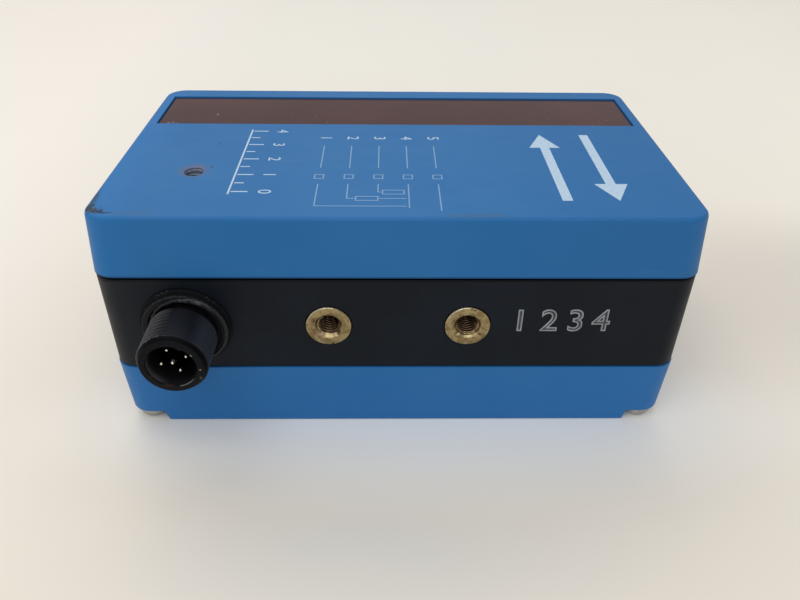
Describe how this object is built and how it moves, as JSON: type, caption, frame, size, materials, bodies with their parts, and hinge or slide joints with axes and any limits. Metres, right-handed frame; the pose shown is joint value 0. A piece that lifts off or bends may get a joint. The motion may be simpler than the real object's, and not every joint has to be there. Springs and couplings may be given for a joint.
{
  "type": "photoelectric sensor",
  "caption": "Block-shaped retro-reflective photoelectric sensor with a dark red window in its top, a round threaded plug and threaded brass inserts in its front face.",
  "frame": {"origin": "centre of the flat base face", "axes": "+X along the housing, -Y out of the plug face, +Z out of the face with the window"},
  "size_m": [0.106, 0.0743, 0.0454],
  "materials": {
    "blue_housing": "moulded satin",
    "black_frame": "moulded satin",
    "window_filter": "polished dark red filter",
    "seal_rubber": "matt",
    "brass": "turned",
    "fastener_steel": "zinc plated",
    "black_plug": "moulded satin",
    "contact_gilt": "gold plated",
    "board_laminate": "solder mask",
    "component_case": "moulded",
    "choke_ferrite": "sintered",
    "component_can": "drawn",
    "ribbon_film": "film",
    "carrier_black": "matt",
    "clear_lens": "clear, polished",
    "polarizer_film": "film"
  },
  "bodies": {
    "root": {"upper_cover": "blue_housing", "lower_cover": "blue_housing", "middle_frame": "black_frame", "window_pane": "window_filter", "window_seal": "seal_rubber", "upper_seal": "seal_rubber", "lower_seal": "seal_rubber", "connector_seal": "seal_rubber", "insert_left": "brass", "insert_right": "brass", "corner_screw_1": "fastener_steel", "corner_screw_2": "fastener_steel", "corner_screw_3": "fastener_steel", "corner_screw_4": "fastener_steel", "lock_screw": "fastener_steel", "connector_clip": "fastener_steel", "board_screw_1": "fastener_steel", "board_screw_2": "fastener_steel", "board_screw_3": "fastener_steel", "board_screw_4": "fastener_steel", "connector_body": "black_plug", "pin_carrier": "black_plug", "contact_pin_1": "contact_gilt", "contact_pin_2": "contact_gilt", "contact_pin_3": "contact_gilt", "contact_pin_4": "contact_gilt", "contact_pin_5": "contact_gilt", "main_board": "board_laminate", "connector_board": "board_laminate", "controller_chip": "component_case", "output_driver": "component_case", "cable_socket": "component_case", "receiver_diode": "component_case", "supply_choke": "choke_ferrite", "filter_capacitor_1": "component_can", "filter_capacitor_2": "component_can", "ribbon_cable": "ribbon_film", "optics_carrier": "carrier_black", "emitter_lens": "clear_lens", "receiver_lens": "clear_lens", "emitter_led": "clear_lens", "emitter_polarizer": "polarizer_film", "receiver_polarizer": "polarizer_film"}
  },
  "joints": []
}
